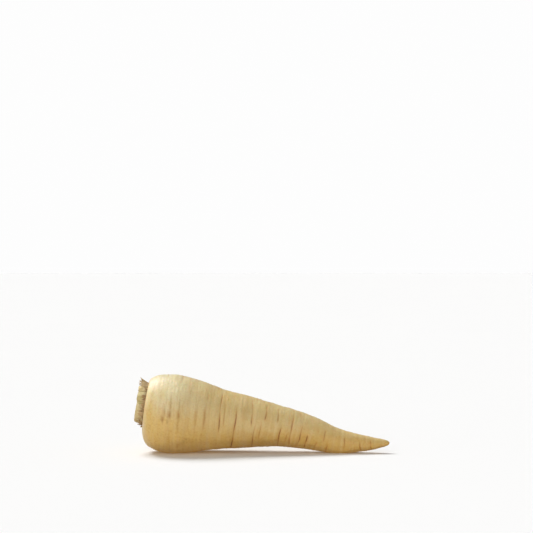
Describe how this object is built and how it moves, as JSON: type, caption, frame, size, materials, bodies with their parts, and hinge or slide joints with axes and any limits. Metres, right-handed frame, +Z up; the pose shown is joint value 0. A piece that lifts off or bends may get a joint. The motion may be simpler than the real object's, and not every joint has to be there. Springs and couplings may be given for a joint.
{
  "type": "parsnip",
  "caption": "Whole washed parsnip lying on its side: a bowed, tapered cream root with cross creases, its leaf stalks cut short in a sunken crown ringed by torn dry leaf bases",
  "frame": {"origin": "on the surface the root lies on, under the middle of its bounding box", "axes": "+Z up; +X from the crown along the root to its tip; -Y the side that is seen with the crown at the left"},
  "size_m": [0.1794, 0.0554, 0.0549],
  "materials": {
    "skin": "thin cream root skin with tan creases, low natural sheen",
    "stalk": "fibrous yellow-green stalk with a tan cut face, satin",
    "dry_leaf": "dry brown torn leaf base, matt"
  },
  "bodies": {
    "root": {"root": "skin", "leaf_stalks": "stalk", "dry_leaf_bases": "dry_leaf"}
  },
  "joints": []
}
